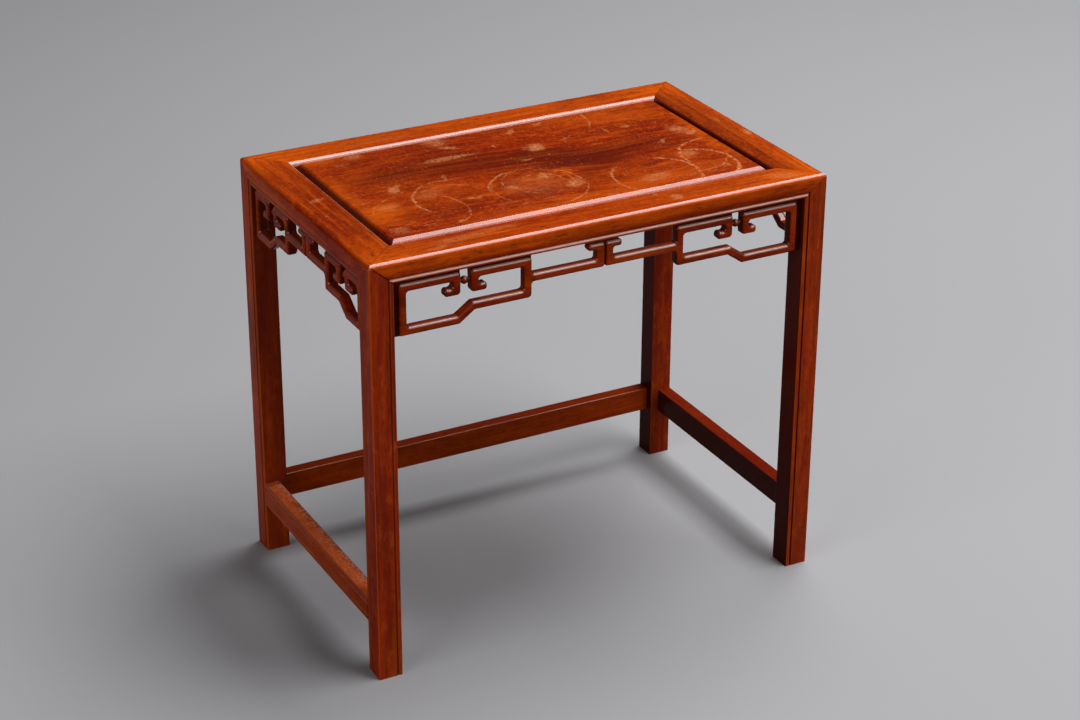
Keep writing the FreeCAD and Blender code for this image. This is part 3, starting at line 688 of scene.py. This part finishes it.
class TABLE_OT_battens(bpy.types.Operator):
    """Finish the two battens under the panel"""
    bl_idname = "side_table.battens"
    bl_label = "Battens"

    def execute(self, context):
        colours, sizes = context.scene.wood_colours, context.scene.wood_sizes
        wood = Rosewood("batten_rosewood", Y, colours, sizes).figure()
        # Painted shade: the battens under the panel are laid half over with the shade brown.
        wood.lay(colours.painted_shade, 0.5)
        wood.grain()
        dress(BATTENS, wood.close())
        return {"FINISHED"}


class TABLE_OT_legs(bpy.types.Operator):
    """Finish the four legs, with the dark lines of their mitred heads and painted shade on their inner faces
    and grooves
    """
    bl_idname = "side_table.legs"
    bl_label = "Legs"

    def execute(self, context):
        colours, sizes = context.scene.wood_colours, context.scene.wood_sizes
        wood = Rosewood("leg_rosewood", Z, colours, sizes).figure(light=0.15, dark=0.7)
        wood.lay(colours.dark, 0.15)
        # A faint wash of the pale pink over the whole of the legs.
        wood.lay(colours.sheen_and_dust, 0.01)
        wood.blotches()
        wood.grain()
        # Painted highlight: the rounded upright corners are laid lighter orange, like the bright lines of
        # light along them.
        corner = [band(wood, wood.size(wood.facing[axis]), 0.35, 0.85, 0.1) for axis in (X, Y)]
        wood.lay(colours.light, *corner, 0.45)
        # Painted shade on faces that look in or down. On those that look in from the front and back it grows
        # toward the top, under the table.
        across = wood.ramp(wood.at[Z], *LEG_SHADE_HEIGHTS, 0.15, 0.6)
        wood.lay(colours.painted_shade, inner_shade(wood, across), 0.95)
        # Painted shade low on the faces that look in along x, darkest at the floor.
        wood.lay(colours.joint, inward(wood, X), wood.ramp(wood.at[Z], *LEG_FOOT_HEIGHTS), 0.55)
        # Painted shade in the grooves beside the beads.
        wood.lay(colours.joint, grooves(wood), 0.45)
        wood.lay(colours.joint, mitre_lines(wood))
        dress(LEGS, wood.close())
        return {"FINISHED"}


class TABLE_OT_stretchers(bpy.types.Operator):
    """Finish the three low stretchers, with painted shade on their inner faces and under the table top, the
    left one dusty and painted lighter toward its outer edge
    """
    bl_idname = "side_table.stretchers"
    bl_label = "Stretchers"

    def execute(self, context):
        colours, sizes = context.scene.wood_colours, context.scene.wood_sizes
        for names, axis in ((BACK_STRETCHER, X), (SIDE_STRETCHERS, Y)):
            wood = Rosewood(f"stretcher_rosewood_{'xy'[axis]}", axis, colours, sizes).figure(dark=0.6)
            wood.lay(colours.dark, 0.1 if axis == X else 0.3)
            wood.blotches()
            wood.grain()
            # Painted shade on faces that look in or down.
            wood.lay(colours.painted_shade, inner_shade(wood), 0.6 if axis == X else 0.9)
            up = wood.upward()
            # Painted shadow of the table top on the upper faces of the back and right stretchers.
            if axis == X:
                wood.lay(colours.dark, up, 0.6)
            else:
                left = wood.ramp(wood.at[X], *LEFT_STRETCHER_SPAN)
                wood.lay(colours.dark, up, wood.less(1.0, left), 0.6)
                # Painted shade on the right stretcher's inner face.
                wood.lay(colours.joint, inward(wood, X), 0.6)
                left_stretcher_top = wood.times(up, left)
                # Painted light: the left stretcher's top is laid lighter orange toward its outer edge.
                wood.lay(colours.light, left_stretcher_top, wood.ramp(wood.at[X], *LIT_EDGE_SPAN, 0.1, 0.9))
                # Real dust in specks, and darker patches, on the left stretcher's top.
                dust = wood.ramp(wood.at[X], *DUSTY_SPAN, 0.15, 0.4)
                wood.lay(colours.sheen_and_dust, left_stretcher_top, wood.times(wood.broken(0.0016, 0.42, 0.62), dust))
                wood.lay(colours.dark, left_stretcher_top, wood.broken(0.009, 0.45, 0.62), 0.2)
            dress(names, wood.close())
        return {"FINISHED"}


class TABLE_OT_aprons(bpy.types.Operator):
    """Finish the eight pierced apron halves, with painted shade where they tuck in behind the rails and legs,
    and painted highlights on their rods
    """
    bl_idname = "side_table.aprons"
    bl_label = "Pierced Aprons"

    def execute(self, context):
        colours, sizes = context.scene.wood_colours, context.scene.wood_sizes
        for names, axis in ((LONG_APRONS, X), (SHORT_APRONS, Y)):
            wood = Rosewood(f"apron_rosewood_{'xy'[axis]}", axis, colours, sizes).figure(light=0.2, dark=0.7)
            wood.blotches()
            wood.grain()
            # Painted shade: thinly over each whole apron, more on the sides of the openings that look across
            # or down, and most on faces that look in or down.
            shaded_sides = wood.ramp(wood.size(wood.facing[1 - axis]), 0.75, 0.35)
            wood.lay(colours.painted_shade, 0.2)
            wood.lay(colours.painted_shade, shaded_sides, wood.ramp(wood.facing[Z], 0.6, 0.2), 0.7)
            wood.lay(colours.painted_shade, inner_shade(wood), 0.85)
            # Painted highlight: pale pink on the outward upper rounds of the rods, stronger on the long aprons
            # and their upper bars, less on the slanted bars.
            crown_highlight = wood.times(wood.ramp(wood.facing[Z], 0.25, 0.65),
                               wood.ramp(outward(wood, 1 - axis), -0.1, 0.35))
            level = wood.ramp(wood.size(wood.facing[axis]), 0.4, 0.2)
            shine = wood.scaled(wood.clouds, 0.2, 0.36 if axis == X else 0.05)
            if axis == X:
                shine = wood.calc("ADD", shine, wood.below(*UPPER_BAR_DEPTHS, 0.0, 0.4))
            wood.lay(colours.sheen_and_dust, crown_highlight, level, shine)
            # Painted shade where the aprons tuck in under the rails and beside the legs.
            end = (HALF_W, HALF_D)[axis] - LEG - APRON_END_TUCK[axis]
            tuck = wood.most([wood.below(*APRON_TUCK_DEPTHS),
                              wood.ramp(wood.size(wood.at[axis]), end, end + TUCK_EASE)])
            wood.lay(colours.joint, tuck, 0.85)
            dress(names, wood.close())
        return {"FINISHED"}


def disc(radius, rings=24, spokes=96):
    """A flat disc as a grid of two parameters: point (r, a) is at (r cos a, r sin a, 0), with the rings
    closer together near the middle and one point at the centre."""
    reach = radius * np.linspace(0, 1, rings + 1)[1:] ** 2
    angle = np.linspace(0, 2 * np.pi, spokes, endpoint=False)
    grid = np.stack([np.outer(reach, np.cos(angle)), np.outer(reach, np.sin(angle)),
                     np.zeros((rings, spokes))], axis=-1)
    points = np.concatenate([np.zeros((1, 3)), grid.reshape(-1, 3)])
    index = 1 + np.arange(rings * spokes).reshape(rings, spokes)
    beside = np.roll(index, -1, axis=1)
    quads = np.stack([index[:-1], index[1:], beside[1:], beside[:-1]], axis=-1).reshape(-1, 4)
    fan = np.stack([np.zeros(spokes, int), index[0], beside[0]], axis=-1)
    return points, quads.tolist() + fan.tolist()


def softbox(name, spot, aim, size, power):
    """A rectangular lamp at one spot, turned to face another."""
    lamp = bpy.data.lights.new(name, "AREA")
    lamp.shape = "RECTANGLE"
    lamp.size, lamp.size_y = size
    lamp.energy = power
    lamp_object = bpy.data.objects.new(name, lamp)
    lamp_object.location = spot
    lamp_object.rotation_euler = (Vector(aim) - Vector(spot)).to_track_quat("-Z", "Y").to_euler()
    bpy.context.scene.collection.objects.link(lamp_object)


class TABLE_OT_stage(bpy.types.Operator):
    """Set up the pale floor, the softboxes and the camera"""
    bl_idname = "side_table.stage"
    bl_label = "Studio"

    def execute(self, context):
        scene, look = context.scene, context.scene.studio_look
        points, faces = disc(look.floor_radius)
        mesh = bpy.data.meshes.new("floor")
        mesh.from_pydata(points.tolist(), [], faces)
        mesh.update()
        floor = bpy.data.objects.new("floor", mesh)
        scene.collection.objects.link(floor)
        paint = bpy.data.materials.new("floor_paint")
        paint.use_nodes = True
        shader = paint.node_tree.nodes["Principled BSDF"]
        shader.inputs["Base Color"].default_value = (*look.floor, 1)
        shader.inputs["Roughness"].default_value = FLOOR_ROUGHNESS
        shader.inputs["Specular IOR Level"].default_value = FLOOR_POLISH
        mesh.materials.append(paint)

        world = bpy.data.worlds.new("studio")
        world.use_nodes = True
        world.node_tree.nodes["Background"].inputs["Color"].default_value = (*look.backdrop, 1)
        scene.world = world

        softbox("key_softbox", KEY_AT, KEY_AIM, KEY_SIZE, look.key)
        softbox("fill_softbox", FILL_AT, LAMP_AIM, FILL_SIZE, look.fill)
        softbox("front_softbox", FRONT_AT, LAMP_AIM, FRONT_SIZE, look.front)

        camera = bpy.data.cameras.new("camera")
        camera.sensor_width, camera.lens = SENSOR_WIDTH, LENS
        eye = bpy.data.objects.new("camera", camera)
        right, up = Vector(CAMERA_RIGHT), Vector(CAMERA_UP)
        turn = Matrix((right, up, right.cross(up))).transposed().to_4x4()
        eye.matrix_world = Matrix.Translation(CAMERA_AT) @ turn
        scene.collection.objects.link(eye)
        scene.camera = eye
        scene.view_settings.view_transform = "Standard"
        return {"FINISHED"}


class TABLE_PT_sidebar(bpy.types.Panel):
    """Lists the table's finishes and the studio"""
    bl_idname = "TABLE_PT_sidebar"
    bl_label = "Side Table"
    bl_space_type = "VIEW_3D"
    bl_region_type = "UI"
    bl_category = "Side Table"

    def draw(self, context):
        for operator in OPERATORS:
            self.layout.operator(operator.bl_idname)
        for group in GROUPS:
            box = self.layout.box()
            settings = getattr(context.scene, group)
            for key in settings.__annotations__:
                box.prop(settings, key)


GROUPS = {"wood_colours": WoodColours, "wood_sizes": WoodSizes, "studio_look": StudioLook}
OPERATORS = (TABLE_OT_frame, TABLE_OT_panel, TABLE_OT_battens, TABLE_OT_legs, TABLE_OT_stretchers,
             TABLE_OT_aprons, TABLE_OT_stage)
CLASSES = (*GROUPS.values(), *OPERATORS, TABLE_PT_sidebar)


def register():
    for cls in CLASSES:
        bpy.utils.register_class(cls)
    for name, group in GROUPS.items():
        setattr(bpy.types.Scene, name, bpy.props.PointerProperty(type=group))


def unregister():
    for name in GROUPS:
        delattr(bpy.types.Scene, name)
    for cls in reversed(CLASSES):
        bpy.utils.unregister_class(cls)


def main():
    register()
    bpy.ops.side_table.frame()
    bpy.ops.side_table.panel()
    bpy.ops.side_table.battens()
    bpy.ops.side_table.legs()
    bpy.ops.side_table.stretchers()
    bpy.ops.side_table.aprons()
    bpy.ops.side_table.stage()


if __name__ == "__main__":
    main()
